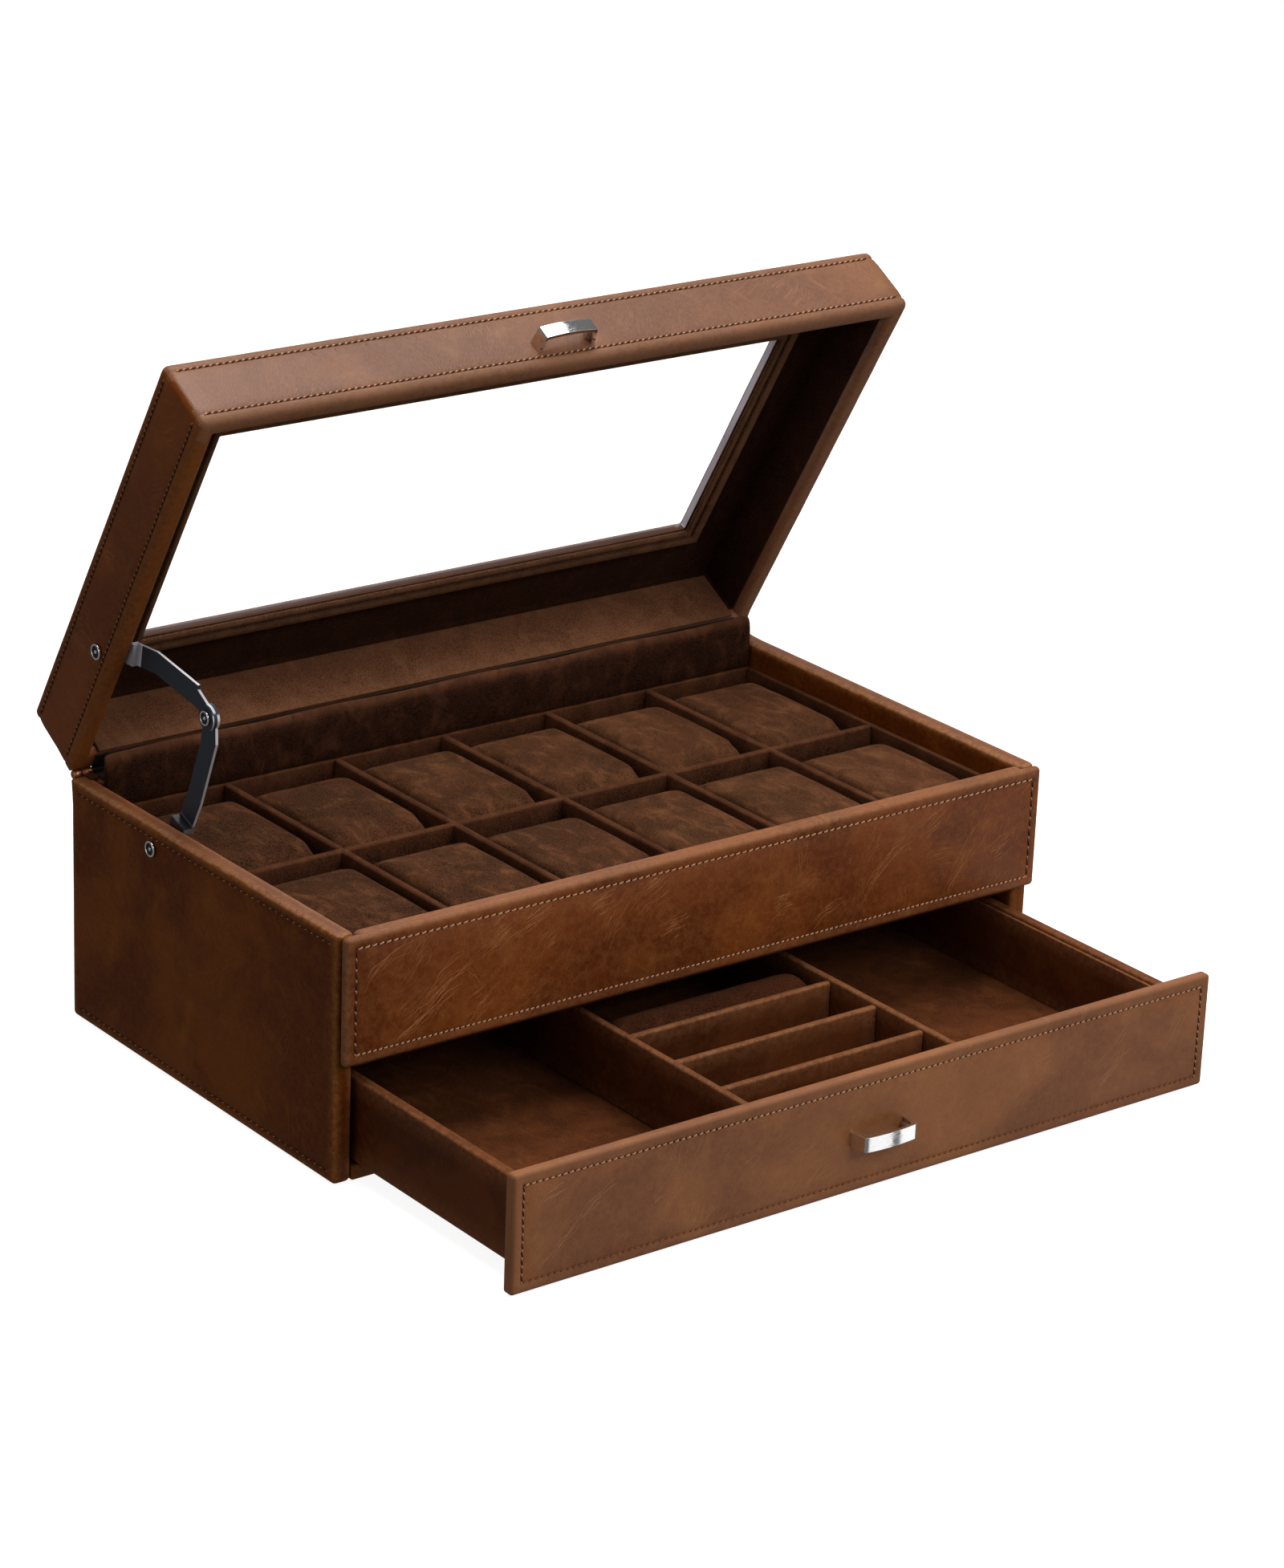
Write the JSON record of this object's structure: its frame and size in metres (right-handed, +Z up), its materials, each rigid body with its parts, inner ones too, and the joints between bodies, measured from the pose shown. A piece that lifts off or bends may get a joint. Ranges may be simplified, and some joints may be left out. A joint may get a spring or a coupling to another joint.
{
  "type": "watch box with drawer",
  "caption": "Leather-covered watch box with a glazed hinged lid on a folding stay, suede pillows in a divided tray, and a divided jewellery drawer with strap pulls.",
  "frame": {"origin": "centre of the case's underside, at the level it stands on", "axes": "+X to the box's right seen from the front, -Y out of its front, +Z up"},
  "size_m": [0.3309, 0.3273, 0.2781],
  "materials": {
    "leather_front": "waxed pull-up leather, semi-matt",
    "leather_side": "waxed pull-up leather, semi-matt",
    "board": "suede-papered board, matt",
    "suede": "brushed suede, matt",
    "pillow_suede": "brushed suede, matt",
    "glass": "clear polished",
    "chrome": "polished",
    "screw_steel": "satin",
    "black_steel": "blackened, satin",
    "brass": "satin"
  },
  "bodies": {
    "case": {"back_panel": "leather_side", "bottom_panel": "board", "deck_panel": "board", "front_band": "leather_front", "front_rail": "leather_front", "hinge_cover": "suede", "hinge_leaf_case": "brass", "hinge_pin": "brass", "side_panel_left": "leather_side", "side_panel_right": "leather_side", "stay_rivet_case": "chrome", "tray_cross_dividers": "suede", "tray_floor": "suede", "tray_long_divider": "suede", "tray_wall_back": "suede", "tray_wall_front": "suede", "tray_wall_left": "suede", "tray_wall_right": "suede"},
    "lid": {"hinge_leaf_lid": "brass", "lid_back": "leather_side", "lid_back_lining": "suede", "lid_front": "leather_front", "lid_glass": "glass", "lid_handle": "chrome", "lid_handle_screws": "screw_steel", "lid_side_left": "leather_side", "lid_side_right": "leather_side", "lid_top_frame": "leather_front", "stay_rivet_lid": "chrome", "window_moulding": "suede"},
    "stay_upper": {"stay_link_upper": "black_steel"},
    "stay_lower": {"stay_link_lower": "black_steel", "stay_rivet_middle": "chrome", "stay_washer": "black_steel"},
    "drawer": {"drawer_back": "board", "drawer_cross_dividers": "suede", "drawer_divider_left": "suede", "drawer_divider_right": "suede", "drawer_floor": "suede", "drawer_front": "leather_front", "drawer_handle": "chrome", "drawer_handle_screws": "screw_steel", "drawer_lining_left": "suede", "drawer_lining_right": "suede", "drawer_side_left": "leather_front", "drawer_side_right": "leather_front", "ring_roll": "suede"},
    "pillow_front_1_body": {"pillow_front_1": "pillow_suede"},
    "pillow_front_2_body": {"pillow_front_2": "pillow_suede"},
    "pillow_front_3_body": {"pillow_front_3": "pillow_suede"},
    "pillow_front_4_body": {"pillow_front_4": "pillow_suede"},
    "pillow_front_5_body": {"pillow_front_5": "pillow_suede"},
    "pillow_front_6_body": {"pillow_front_6": "pillow_suede"},
    "pillow_rear_1_body": {"pillow_rear_1": "pillow_suede"},
    "pillow_rear_2_body": {"pillow_rear_2": "pillow_suede"},
    "pillow_rear_3_body": {"pillow_rear_3": "pillow_suede"},
    "pillow_rear_4_body": {"pillow_rear_4": "pillow_suede"},
    "pillow_rear_5_body": {"pillow_rear_5": "pillow_suede"},
    "pillow_rear_6_body": {"pillow_rear_6": "pillow_suede"}
  },
  "joints": [
    {"name": "lid_hinge", "type": "hinge", "parent": "case", "child": "lid", "pos_m": [0, 0.093, 0.09875], "axis": [-1, 0, 0], "range_deg": [-60, 35]},
    {"name": "stay_lower_pivot", "type": "hinge", "parent": "case", "child": "stay_lower", "pos_m": [-0.155, 0.03242, 0.0894], "axis": [-1, 0, 0], "range_deg": [-60, 35]},
    {"name": "stay_upper_pivot", "type": "hinge", "parent": "lid", "child": "stay_upper", "pos_m": [-0.155, 0.0708, 0.15589], "axis": [-1, 0, 0], "range_deg": [-35, 60]},
    {"name": "drawer_slide", "type": "slide", "parent": "case", "child": "drawer", "axis": [0, -1, 0], "range_m": [-0.102, 0.03]},
    {"name": "pillow_front_1_lift", "type": "slide", "parent": "case", "child": "pillow_front_1_body", "axis": [0, 0, 1], "range_m": [0, 0.075]},
    {"name": "pillow_front_2_lift", "type": "slide", "parent": "case", "child": "pillow_front_2_body", "axis": [0, 0, 1], "range_m": [0, 0.075]},
    {"name": "pillow_front_3_lift", "type": "slide", "parent": "case", "child": "pillow_front_3_body", "axis": [0, 0, 1], "range_m": [0, 0.075]},
    {"name": "pillow_front_4_lift", "type": "slide", "parent": "case", "child": "pillow_front_4_body", "axis": [0, 0, 1], "range_m": [0, 0.075]},
    {"name": "pillow_front_5_lift", "type": "slide", "parent": "case", "child": "pillow_front_5_body", "axis": [0, 0, 1], "range_m": [0, 0.075]},
    {"name": "pillow_front_6_lift", "type": "slide", "parent": "case", "child": "pillow_front_6_body", "axis": [0, 0, 1], "range_m": [0, 0.075]},
    {"name": "pillow_rear_1_lift", "type": "slide", "parent": "case", "child": "pillow_rear_1_body", "axis": [0, 0, 1], "range_m": [0, 0.075]},
    {"name": "pillow_rear_2_lift", "type": "slide", "parent": "case", "child": "pillow_rear_2_body", "axis": [0, 0, 1], "range_m": [0, 0.075]},
    {"name": "pillow_rear_3_lift", "type": "slide", "parent": "case", "child": "pillow_rear_3_body", "axis": [0, 0, 1], "range_m": [0, 0.075]},
    {"name": "pillow_rear_4_lift", "type": "slide", "parent": "case", "child": "pillow_rear_4_body", "axis": [0, 0, 1], "range_m": [0, 0.075]},
    {"name": "pillow_rear_5_lift", "type": "slide", "parent": "case", "child": "pillow_rear_5_body", "axis": [0, 0, 1], "range_m": [0, 0.075]},
    {"name": "pillow_rear_6_lift", "type": "slide", "parent": "case", "child": "pillow_rear_6_body", "axis": [0, 0, 1], "range_m": [0, 0.075]}
  ],
  "couplings": [
    {"joint": "stay_lower_pivot", "follows": "lid_hinge", "ratio": 1},
    {"joint": "stay_upper_pivot", "follows": "lid_hinge", "ratio": -1}
  ]
}
